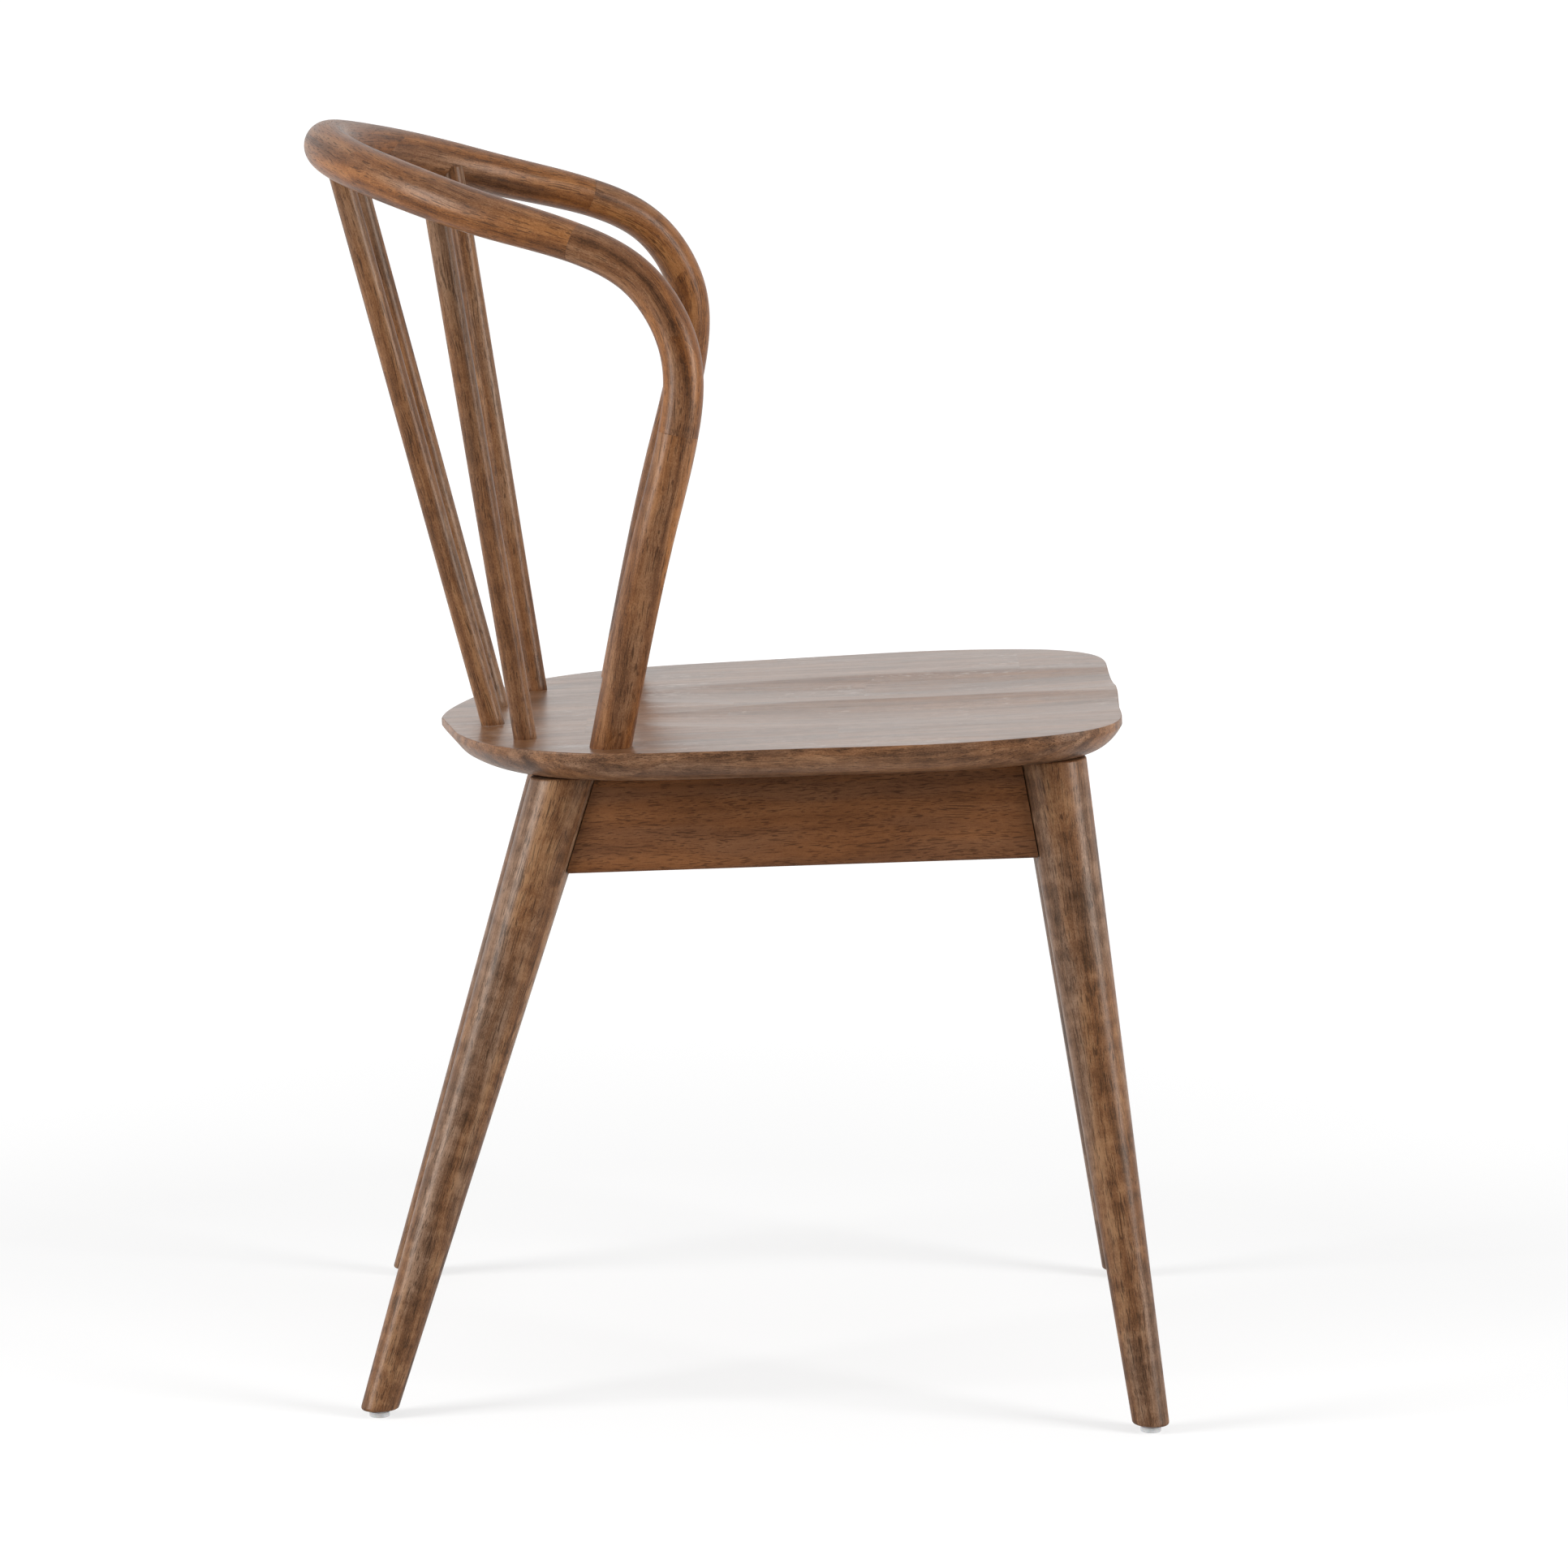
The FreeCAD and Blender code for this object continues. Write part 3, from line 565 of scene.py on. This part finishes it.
def make_hoop_piece(name, first, last, seed):
    """One length of the hoop between two of its points: circles square to the spline.

    The circles follow the centre line, their radii change evenly from point to point, and the
    grain's third axis is the distance along the line, so the figure bends with the rod.
    """
    line, where = spline(hoop_points[:, :3], False, HOOP_LINE_STEPS)
    start = hoop_marks[first]
    end = hoop_marks[last]
    count = int((end - start) / HOOP_RING_STEP)
    inner = np.linspace(start, end, count)
    ease = JOINT_EASE * np.array([0, 0.35, 1.0, 1.5, 4.0])
    drawn_in = JOINT_EASE * np.array([1.0, 0.35, 0, 0, 0])
    along = np.concatenate([start + ease, inner[1:-1], end - ease[::-1]])
    pull = np.concatenate([drawn_in, np.zeros(count - 2), drawn_in[::-1]])
    centre = np.stack([np.interp(along, where, line[:, axis]) for axis in range(3)], axis=1)
    tangent_line = np.gradient(line, axis=0)
    tangent = np.stack([np.interp(along, where, tangent_line[:, axis]) for axis in range(3)], axis=1)
    tangent = tangent / np.linalg.norm(tangent, axis=1)[:, None]
    sink = np.where(along <= hoop_marks[0] + ease[-1], POST_SINK, 0.0)
    sink = sink - np.where(along >= hoop_marks[-1] - ease[-1], POST_SINK, 0.0)
    centre = centre - tangent * sink[:, None]
    radius = np.interp(along, hoop_marks, hoop_points[:, 3]) / 2 - pull
    across, up = ring_frame(tangent)
    angle = np.linspace(0, 2 * math.pi, HOOP_SIDES, endpoint=False)[None, :, None]
    outwards = across[:, None] * np.cos(angle) + up[:, None] * np.sin(angle)
    grid = centre[:, None] + outwards * radius[:, None, None]
    beside = radius[:, None] * np.cos(angle[..., 0])
    above = radius[:, None] * np.sin(angle[..., 0])
    level = np.broadcast_to(along[:, None], beside.shape)
    grain = np.stack([beside + seed, above, level], axis=-1)
    return surface(name, grid, grain)


hoop_warm = [(0.066, 0.021, 0.006), (0.190, 0.068, 0.019), (0.330, 0.142, 0.048)]
hoop_grey = [(0.050, 0.020, 0.008), (0.150, 0.062, 0.026), (0.275, 0.140, 0.070)]
hoop_wood = stained_wood("hoop_wood", hoop_warm, hoop_grey, board=(10.0, HOOP_BLOCK), satin=0.40)
post_end = len(POST_LINE)
arm_end = post_end + len(ARM_LINE)
far_end = len(hoop_points) - 1
hoop_pieces = {
    "hoop_post_left": (0, post_end),
    "hoop_arm_left": (post_end, arm_end),
    "hoop_crest": (arm_end, far_end - arm_end),
    "hoop_arm_right": (far_end - arm_end, far_end - post_end),
    "hoop_post_right": (far_end - post_end, far_end),
}
hoop_seed = 0.0
for name, (first, last) in hoop_pieces.items():
    hoop_seed = hoop_seed + HOOP_SEED_STEP
    length = make_hoop_piece(name + "_rod", first, last, hoop_seed)
    length.data.materials.append(hoop_wood)
    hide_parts(name)
    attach(length, "root")

# Spindles
# Four straight turned rods, glued in blind holes in the seat and let into the inner and
# lower side of the hoop, so that the rounded end of each outer one shows on the inside.

SPINDLE_RADIUS = 0.0075
SPINDLE_SINK = 0.006
SPINDLE_HEAD_ROUND = 0.003
SPINDLE_SIDES = 64
SPINDLE_RINGS = 40
SPINDLE_HEAD_RINGS = 8
SPINDLE_SEED_STEP = 0.29
SPINDLES = {
    "inner": ((0.0410, 0.1580), (0.0590, 0.2605, 0.7960)),
    "outer": ((0.1100, 0.1345), (0.1325, 0.1940, 0.7790)),
}


def make_spindle(name, foot, head, side, seed):
    """Spindle surface: circles along a straight line from inside the seat to a rounded head.

    Over the last of its length the radius follows nearly a quarter of an ellipse, and a small
    flat face closes it.
    """
    low = seat_point(side * foot[0], foot[1], 0.0)
    high = np.array([side * head[0], head[1], head[2]])
    axis = high - low
    length = np.linalg.norm(axis)
    axis = axis / length
    across, up = ring_frame(axis[None])
    turn = np.linspace(0, 0.47 * math.pi, SPINDLE_HEAD_RINGS)[1:]
    shaft = np.linspace(-SPINDLE_SINK, length - SPINDLE_HEAD_ROUND, SPINDLE_RINGS)
    along = np.concatenate([shaft, length - SPINDLE_HEAD_ROUND * (1 - np.sin(turn))])
    radius = SPINDLE_RADIUS * np.concatenate([np.ones(SPINDLE_RINGS), np.cos(turn)])[:, None, None]
    angle = np.linspace(0, 2 * math.pi, SPINDLE_SIDES, endpoint=False)[None, :, None]
    outwards = across * np.cos(angle) + up * np.sin(angle)
    grid = low + axis * along[:, None, None] + outwards * radius
    beside = (radius * np.cos(angle))[..., 0]
    above = (radius * np.sin(angle))[..., 0]
    level = np.broadcast_to(along[:, None], grid.shape[:2])
    grain = np.stack([beside + seed, above, level], axis=-1)
    return surface(name, grid, grain)


spindle_warm = [(0.060, 0.023, 0.009), (0.160, 0.067, 0.027), (0.275, 0.138, 0.063)]
spindle_grey = [(0.047, 0.022, 0.011), (0.130, 0.063, 0.032), (0.240, 0.138, 0.082)]
spindle_wood = stained_wood("spindle_wood", spindle_warm, spindle_grey)
spindle_seed = 0.11
for place, (foot, head) in SPINDLES.items():
    for hand, side in (("left", 1), ("right", -1)):
        spindle_seed = spindle_seed + SPINDLE_SEED_STEP
        spindle = make_spindle(f"spindle_{place}_{hand}_rod", foot, head, side, spindle_seed)
        spindle.data.materials.append(spindle_wood)
        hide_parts(f"spindle_{place}_{hand}")
        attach(spindle, "root")

# Dowels
# Plain round pins of pale unstained wood, glued half in each of the two lengths that they
# join. They are hidden once the hoop is together.

dowel_warm = [(0.300, 0.180, 0.085), (0.420, 0.270, 0.140), (0.520, 0.360, 0.200)]
dowel_wood = stained_wood(
    "dowel_wood", dowel_warm, dowel_warm, (0.0, 0.0, 0.0), satin=0.6, contrast=0.6)
for hand in ("left", "right"):
    finish_node(f"hoop_dowel_post_{hand}", dowel_wood)
    finish_node(f"hoop_dowel_crest_{hand}", dowel_wood)

# Glides, nails and screws
# Stepped discs of moulded white nylon under the legs, each held by a bright nail, and zinc
# plated screws up through the corner blocks.


def moulded_nylon(name):
    """White nylon: a soft even colour, with one faint mottle in its tone and its roughness."""
    material, tree = bare_material(name)
    place = shader_node(tree, "TexCoord").outputs["Object"]
    mottle = shader_node(tree, "TexNoise", values={"Vector": place, "Scale": 260.0, "Detail": 3.0})
    colour = colour_steps(tree, mottle.outputs[0], [
        (0.3, (0.56, 0.57, 0.58)), (0.7, (0.68, 0.69, 0.70))])
    roughness = maths(tree, "ADD", maths(tree, "MULTIPLY", mottle.outputs[0], 0.2), 0.35)
    shader = shader_node(tree, "BsdfPrincipled", values={
        "Base Color": colour, "Roughness": roughness, "Subsurface Weight": 0.1,
        "Subsurface Scale": 0.002})
    to_output(tree, shader)
    return material


def plated_steel(name, pale, dull):
    """Plated steel: fine turned scratches that vary the colour and the roughness."""
    material, tree = bare_material(name)
    place = shader_node(tree, "TexCoord").outputs["Object"]
    scratch = stretched_noise(tree, place, (900, 900, 5200), 3.0)
    colour = colour_steps(tree, scratch.outputs[0], [(0.3, dull), (0.7, pale)])
    roughness = maths(tree, "ADD", maths(tree, "MULTIPLY", scratch.outputs[0], 0.25), 0.18)
    shader = shader_node(tree, "BsdfPrincipled", values={
        "Base Color": colour, "Roughness": roughness, "Metallic": 1.0})
    to_output(tree, shader)
    return material


nylon = moulded_nylon("glide_nylon")
nail_steel = plated_steel("nail_steel", (0.72, 0.72, 0.72), (0.45, 0.45, 0.46))
screw_steel = plated_steel("screw_steel", (0.70, 0.68, 0.62), (0.42, 0.41, 0.38))
for hand in ("left", "right"):
    for place in ("front", "rear"):
        finish_node(f"glide_{place}_{hand}", nylon)
        finish_node(f"glide_nail_{place}_{hand}", nail_steel)
        finish_node(f"seat_screw_{place}_{hand}", screw_steel)

# Floor
# A plain pale floor that reaches the horizon. It shows as white to the camera and keeps a
# faint shadow of the chair.

FLOOR_RING_RADII = (0.0001, 0.5, 1.5, 6.0, 60.0)
FLOOR_SIDES = 96
FLOOR_OWN_LIGHT = 0.66
FAR_FLOOR_OWN_LIGHT = 0.96
NEAR_FLOOR = 0.6
FAR_FLOOR = 2.4
CAMERA_SIDE_LIGHT = 0.22
MIRROR_CHANGE = 0.8


def make_floor():
    """Flat disc: rings of growing radius about the origin, level with the glides' lowest faces."""
    radius = np.array(FLOOR_RING_RADII)[:, None]
    angle = np.linspace(0, 2 * math.pi, FLOOR_SIDES, endpoint=False)[None]
    ring_x = radius * np.cos(angle)
    ring_y = radius * np.sin(angle)
    grid = np.stack([ring_x, ring_y, 0 * ring_x], axis=-1)
    return surface("floor", grid, grid, capped=False)


def even_change(tree, value, low, high, first, last):
    """The first number where the value is low, the last where it is high, and evenly between."""
    return shader_node(tree, "MapRange", values={
        0: value, 1: low, 2: high, 3: first, 4: last}).outputs[0]


def floor_finish(name):
    """White paint: to the camera, part of its light is its own, so that it reads as white.

    Its own light grows away from the chair, where the lamps fall off. In a reflection it is
    white behind the chair and dim towards the camera, as the unlit side of a studio is.
    """
    material, tree = bare_material(name)
    seen = shader_node(tree, "LightPath")
    place = shader_node(tree, "TexCoord").outputs["Object"]
    along = shader_node(tree, "SeparateXYZ", values={0: place}).outputs[0]
    distance = shader_node(tree, "VectorMath", {"operation": "LENGTH"}, {0: place}).outputs["Value"]
    own_light = even_change(
        tree, distance, NEAR_FLOOR, FAR_FLOOR, FLOOR_OWN_LIGHT, FAR_FLOOR_OWN_LIGHT)
    mirrored = even_change(tree, along, -MIRROR_CHANGE, MIRROR_CHANGE, CAMERA_SIDE_LIGHT, 1.0)
    paint = shader_node(tree, "BsdfDiffuse", values={"Color": (0.80, 0.80, 0.79, 1)})
    shown = shader_node(tree, "BsdfDiffuse", values={"Color": (0.36, 0.36, 0.36, 1)})
    glow = shader_node(tree, "Emission", values={"Color": (1, 1, 1, 1), "Strength": own_light})
    white = shader_node(tree, "AddShader", values={0: shown.outputs[0], 1: glow.outputs[0]})
    reflected = shader_node(tree, "Emission", values={"Color": (1, 1, 1, 1), "Strength": mirrored})
    mixed = shader_node(tree, "MixShader", values={
        0: seen.outputs["Is Camera Ray"], 1: paint.outputs[0], 2: white.outputs[0]})
    mixed = shader_node(tree, "MixShader", values={
        0: seen.outputs["Is Glossy Ray"], 1: mixed.outputs[0], 2: reflected.outputs[0]})
    to_output(tree, mixed)
    return material


floor = make_floor()
floor.data.materials.append(floor_finish("floor_white"))

# Light
# A white room with a tall soft lamp on each side of the view and a weaker one above, as for
# a catalogue picture. The side of the room behind the camera is unlit.

ROOM_LIGHT = 0.30
UNLIT_WALL = 0.06
LIT_WALL_RANGE = (-0.5, 0.4)
OVERHEAD_MIRRORED = 0.6
OVERHEAD_RANGE = (0.4, 0.85)
LAMP_TARGET = (0.0, 0.0, 0.5)
LAMPS = {
    "rear_lamp": ((-1.20, 2.55, 1.35), (1.1, 2.0), 80),
    "front_lamp": ((-1.20, -2.55, 1.35), (1.1, 2.0), 74),
    "top_lamp": ((0.0, 0.0, 3.4), (2.4, 2.4), 8),
}


def light_room():
    """White world: full white where it is seen, weaker where it lights.

    In a reflection it is white behind the chair, pale grey overhead and dark towards the
    camera. Each range is of the heading's part along X or Z.
    """
    world = bpy.data.worlds.new("room")
    bpy.context.scene.world = world
    world.use_nodes = True
    tree = world.node_tree
    tree.nodes.clear()
    seen = shader_node(tree, "LightPath")
    heading = shader_node(tree, "SeparateXYZ", values={
        0: shader_node(tree, "TexCoord").outputs["Generated"]})
    behind = even_change(tree, heading.outputs[0], *LIT_WALL_RANGE, UNLIT_WALL, 1.0)
    overhead = even_change(tree, heading.outputs[2], *OVERHEAD_RANGE, 0.0, OVERHEAD_MIRRORED)
    mirrored = maths(tree, "MAXIMUM", behind, overhead)
    direct = maths(tree, "MAXIMUM", seen.outputs["Is Camera Ray"], seen.outputs["Is Transmission Ray"])
    lit = shader_node(tree, "Mix", {"data_type": "FLOAT"}, {
        0: seen.outputs["Is Glossy Ray"], 2: ROOM_LIGHT, 3: mirrored}).outputs[0]
    strength = shader_node(tree, "Mix", {"data_type": "FLOAT"}, {0: direct, 2: lit, 3: 1.0}).outputs[0]
    background = shader_node(tree, "Background", values={
        "Color": (1, 1, 1, 1), "Strength": strength})
    to_output(tree, background, "OutputWorld")


def soft_lamp(name, position, size, watts):
    """Rectangular lamp of a width and height, turned from its position to face the chair."""
    lamp = bpy.data.lights.new(name, "AREA")
    lamp.shape = "RECTANGLE"
    lamp.size, lamp.size_y = size
    lamp.energy = watts
    holder = bpy.data.objects.new(name, lamp)
    holder.location = position
    aim = Vector(LAMP_TARGET) - Vector(position)
    holder.rotation_euler = aim.to_track_quat("-Z", "Y").to_euler()
    bpy.context.scene.collection.objects.link(holder)


light_room()
for name, (position, size, watts) in LAMPS.items():
    soft_lamp(name, position, size, watts)

# Camera
# A long lens almost square to the chair's right side. It stands a little above the chair
# and looks down at it.

CAMERA_PLACE = (-4.9342, -0.0219, 1.1544)
CAMERA_YAW = math.radians(-0.135)
CAMERA_PITCH = math.radians(8.91)
CAMERA_ROLL = math.radians(0.632)
LENS_MM = 173.3
SENSOR_MM = 36.0


def place_camera():
    """Camera looking along +X, turned by yaw, tipped down by pitch, then rolled."""
    forward = Vector((
        math.cos(CAMERA_YAW) * math.cos(CAMERA_PITCH),
        math.sin(CAMERA_YAW) * math.cos(CAMERA_PITCH),
        -math.sin(CAMERA_PITCH)))
    level_right = Vector((math.sin(CAMERA_YAW), -math.cos(CAMERA_YAW), 0))
    level_up = level_right.cross(forward)
    right = level_right * math.cos(CAMERA_ROLL) + level_up * math.sin(CAMERA_ROLL)
    up = level_up * math.cos(CAMERA_ROLL) - level_right * math.sin(CAMERA_ROLL)
    turn = Matrix((right, up, -forward)).transposed()
    data = bpy.data.cameras.new("camera")
    data.lens = LENS_MM
    data.sensor_width = SENSOR_MM
    data.sensor_fit = "HORIZONTAL"
    data.clip_end = 200
    camera = bpy.data.objects.new("camera", data)
    camera.matrix_world = Matrix.Translation(CAMERA_PLACE) @ turn.to_4x4()
    bpy.context.scene.collection.objects.link(camera)
    bpy.context.scene.camera = camera


place_camera()
bpy.context.scene.view_settings.view_transform = "Standard"
